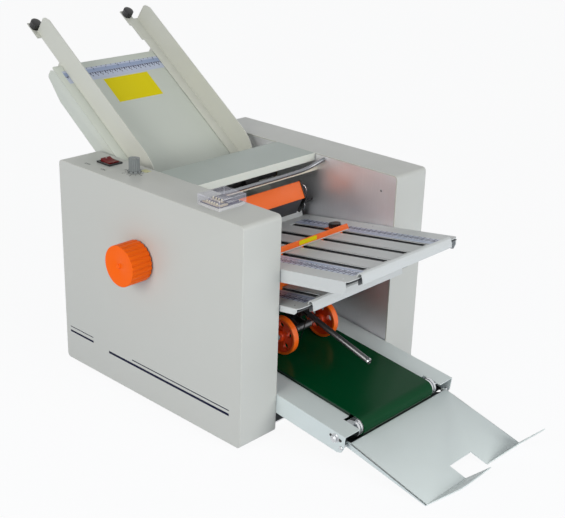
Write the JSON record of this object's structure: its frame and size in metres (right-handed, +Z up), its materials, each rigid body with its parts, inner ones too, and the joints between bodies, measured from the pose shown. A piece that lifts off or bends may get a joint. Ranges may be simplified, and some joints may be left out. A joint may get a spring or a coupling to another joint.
{
  "type": "paper folding machine",
  "caption": "Desktop paper folding machine with a sloped feed table, fold plates with sliding stops, fold rollers, a delivery belt with resting wheels and a catch tray.",
  "frame": {"origin": "centre of the whole machine's footprint, on the desk", "axes": "+X from the feed side to the delivery side, +Y from the hand knob's side to the far side, +Z up"},
  "size_m": [0.8939, 0.4335, 0.5214],
  "materials": {
    "cover_paint": "satin",
    "sheet_paint": "satin",
    "frame_steel": "brushed",
    "bright_steel": "polished",
    "roller_rubber": "matte",
    "green_belt": "gloss",
    "orange_plastic": "gloss",
    "orange_paint": "satin",
    "wheel_plastic": "satin",
    "black_plastic": "satin",
    "red_plastic": "gloss",
    "grey_plastic": "satin",
    "cream_plastic": "satin",
    "clear_plastic": "clear",
    "board_green": "matte",
    "bearing_bronze": "satin",
    "motor_steel": "matte",
    "tape_print": "matte"
  },
  "bodies": {
    "machine": {"near_side_cover": "cover_paint", "far_side_cover": "cover_paint", "hood": "sheet_paint", "feed_table": "sheet_paint", "upper_plate_top": "sheet_paint", "upper_plate_bottom": "sheet_paint", "lower_plate_top": "sheet_paint", "lower_plate_bottom": "sheet_paint", "upper_rear_plate": "sheet_paint", "lower_rear_plate": "sheet_paint", "conveyor_frame": "sheet_paint", "near_side_frame": "frame_steel", "far_side_frame": "frame_steel", "base_pan": "frame_steel", "tie_rods": "frame_steel", "wheel_rod": "bright_steel", "conveyor_bolts": "bright_steel", "machine_screws": "bright_steel", "separator_pad": "roller_rubber", "rubber_feet": "roller_rubber", "drive_belts": "roller_rubber", "conveyor_belt": "green_belt", "guard_panel": "orange_paint", "switch_housing": "black_plastic", "power_inlet": "black_plastic", "plate_mounts": "black_plastic", "cream_strip": "cream_plastic", "counter_base": "cream_plastic", "counter_cover": "clear_plastic", "control_board": "board_green", "shaft_bearings": "bearing_bronze", "drive_motor": "motor_steel", "ruler_tapes": "tape_print"},
    "main_shaft": {"fold_roller_two": "roller_rubber", "hand_knob": "orange_plastic"},
    "roller_one": {"fold_roller_one": "roller_rubber"},
    "roller_three": {"fold_roller_three": "roller_rubber"},
    "roller_four": {"fold_roller_four": "roller_rubber"},
    "roller_five": {"fold_roller_five": "roller_rubber"},
    "roller_six": {"fold_roller_six": "roller_rubber"},
    "feed_shaft": {"feed_roller": "roller_rubber"},
    "motor_shaft": {"motor_pulley": "motor_steel"},
    "belt_drive": {"belt_drive_roller": "motor_steel"},
    "belt_end": {"belt_end_roller": "bright_steel"},
    "guide_left": {"left_guide": "sheet_paint"},
    "guide_right": {"right_guide": "sheet_paint"},
    "guide_left_lock": {"left_guide_knob": "black_plastic"},
    "guide_right_lock": {"right_guide_knob": "black_plastic"},
    "stop_upper_front": {"upper_front_stop": "orange_paint"},
    "stop_lower_front": {"lower_front_stop": "orange_paint"},
    "stop_upper_rear": {"upper_rear_stop": "orange_paint"},
    "stop_lower_rear": {"lower_rear_stop": "orange_paint"},
    "stop_lock": {"upper_stop_knob": "black_plastic"},
    "rocker": {"switch_rocker": "red_plastic"},
    "speed": {"speed_knob": "grey_plastic"},
    "carriage": {"wheel_carriage": "black_plastic"},
    "arm": {"wheel_arm": "black_plastic", "wheel_axle": "frame_steel"},
    "wheels": {"delivery_wheels": "wheel_plastic"},
    "tray": {"catch_tray": "sheet_paint"}
  },
  "joints": [
    {"name": "main_shaft_turn", "type": "hinge", "parent": "machine", "child": "main_shaft", "pos_m": [-0.063, 0.0198, 0.231], "axis": [0, 1, 0], "continuous": true},
    {"name": "roller_one_turn", "type": "hinge", "parent": "machine", "child": "roller_one", "pos_m": [-0.04998, 0.0198, 0.26023], "axis": [0, 1, 0], "continuous": true},
    {"name": "roller_three_turn", "type": "hinge", "parent": "machine", "child": "roller_three", "pos_m": [-0.04998, 0.0198, 0.20177], "axis": [0, 1, 0], "continuous": true},
    {"name": "roller_four_turn", "type": "hinge", "parent": "machine", "child": "roller_four", "pos_m": [-0.063, 0.0198, 0.17253], "axis": [0, 1, 0], "continuous": true},
    {"name": "roller_five_turn", "type": "hinge", "parent": "machine", "child": "roller_five", "pos_m": [-0.04998, 0.0198, 0.1433], "axis": [0, 1, 0], "continuous": true},
    {"name": "roller_six_turn", "type": "hinge", "parent": "machine", "child": "roller_six", "pos_m": [-0.063, 0.0198, 0.11407], "axis": [0, 1, 0], "continuous": true},
    {"name": "feed_roller_turn", "type": "hinge", "parent": "machine", "child": "feed_shaft", "pos_m": [-0.10762, 0.0198, 0.2871], "axis": [0, 1, 0], "continuous": true},
    {"name": "motor_turn", "type": "hinge", "parent": "machine", "child": "motor_shaft", "pos_m": [-0.166, 0.0198, 0.05], "axis": [0, 1, 0], "continuous": true},
    {"name": "belt_drive_turn", "type": "hinge", "parent": "machine", "child": "belt_drive", "pos_m": [-0.0299, 0.0198, 0.07824], "axis": [0, 1, 0], "continuous": true},
    {"name": "belt_end_turn", "type": "hinge", "parent": "machine", "child": "belt_end", "pos_m": [0.26168, 0.0198, 0.04471], "axis": [0, 1, 0], "continuous": true},
    {"name": "left_guide_slide", "type": "slide", "parent": "machine", "child": "guide_left", "axis": [0, 1, 0], "range_m": [-0.01, 0.05]},
    {"name": "right_guide_slide", "type": "slide", "parent": "machine", "child": "guide_right", "axis": [0, 1, 0], "range_m": [-0.055, 0.003]},
    {"name": "left_guide_lock_turn", "type": "hinge", "parent": "guide_left", "child": "guide_left_lock", "pos_m": [-0.43767, -0.0812, 0.50287], "axis": [0.5807, 0, 0.8141], "range_deg": [-90, 360]},
    {"name": "right_guide_lock_turn", "type": "hinge", "parent": "guide_right", "child": "guide_right_lock", "pos_m": [-0.43767, 0.1108, 0.50287], "axis": [0.5807, 0, 0.8141], "range_deg": [-90, 360]},
    {"name": "upper_front_stop_slide", "type": "slide", "parent": "machine", "child": "stop_upper_front", "axis": [0.989, 0, 0.1478], "range_m": [-0.085, 0.15]},
    {"name": "lower_front_stop_slide", "type": "slide", "parent": "machine", "child": "stop_lower_front", "axis": [0.989, 0, 0.1478], "range_m": [-0.085, 0.065]},
    {"name": "upper_rear_stop_slide", "type": "slide", "parent": "machine", "child": "stop_upper_rear", "axis": [-0.989, 0, 0.1478], "range_m": [-0.085, 0.07]},
    {"name": "lower_rear_stop_slide", "type": "slide", "parent": "machine", "child": "stop_lower_rear", "axis": [-0.989, 0, 0.1478], "range_m": [-0.085, 0.07]},
    {"name": "stop_lock_turn", "type": "hinge", "parent": "stop_upper_front", "child": "stop_lock", "pos_m": [0.07324, 0.0958, 0.25287], "axis": [-0.1478, 0, 0.989], "range_deg": [-90, 360]},
    {"name": "rocker_tilt", "type": "hinge", "parent": "machine", "child": "rocker", "pos_m": [-0.18525, -0.132, 0.338], "axis": [0, 1, 0], "range_deg": [-14, 0]},
    {"name": "speed_turn", "type": "hinge", "parent": "machine", "child": "speed", "pos_m": [-0.124, -0.1342, 0.34], "axis": [0, 0, 1], "range_deg": [-140, 140]},
    {"name": "carriage_slide", "type": "slide", "parent": "machine", "child": "carriage", "axis": [0.9613, 0, -0.2756], "range_m": [-0.04, 0.06]},
    {"name": "arm_tilt", "type": "hinge", "parent": "carriage", "child": "arm", "pos_m": [0.057, 0.0198, 0.118], "axis": [0, 1, 0], "range_deg": [-23, 15.5]},
    {"name": "delivery_wheels_turn", "type": "hinge", "parent": "arm", "child": "wheels", "pos_m": [0.082, 0.0198, 0.1108], "axis": [0, 1, 0], "continuous": true},
    {"name": "tray_lift", "type": "hinge", "parent": "machine", "child": "tray", "pos_m": [0.27315, 0.0198, 0.03332], "axis": [0, -1, 0], "range_deg": [0, 30]}
  ],
  "couplings": [
    {"joint": "roller_one_turn", "follows": "main_shaft_turn", "ratio": -1},
    {"joint": "roller_three_turn", "follows": "main_shaft_turn", "ratio": -1},
    {"joint": "roller_four_turn", "follows": "main_shaft_turn", "ratio": 1},
    {"joint": "roller_five_turn", "follows": "main_shaft_turn", "ratio": -1},
    {"joint": "roller_six_turn", "follows": "main_shaft_turn", "ratio": 1},
    {"joint": "feed_roller_turn", "follows": "main_shaft_turn", "ratio": -1},
    {"joint": "motor_turn", "follows": "main_shaft_turn", "ratio": 2.5},
    {"joint": "belt_drive_turn", "follows": "main_shaft_turn", "ratio": 1},
    {"joint": "belt_end_turn", "follows": "main_shaft_turn", "ratio": 1},
    {"joint": "delivery_wheels_turn", "follows": "main_shaft_turn", "ratio": -0.45833},
    {"joint": "arm_tilt", "follows": "carriage_slide", "rad_per_m": -6.545}
  ]
}
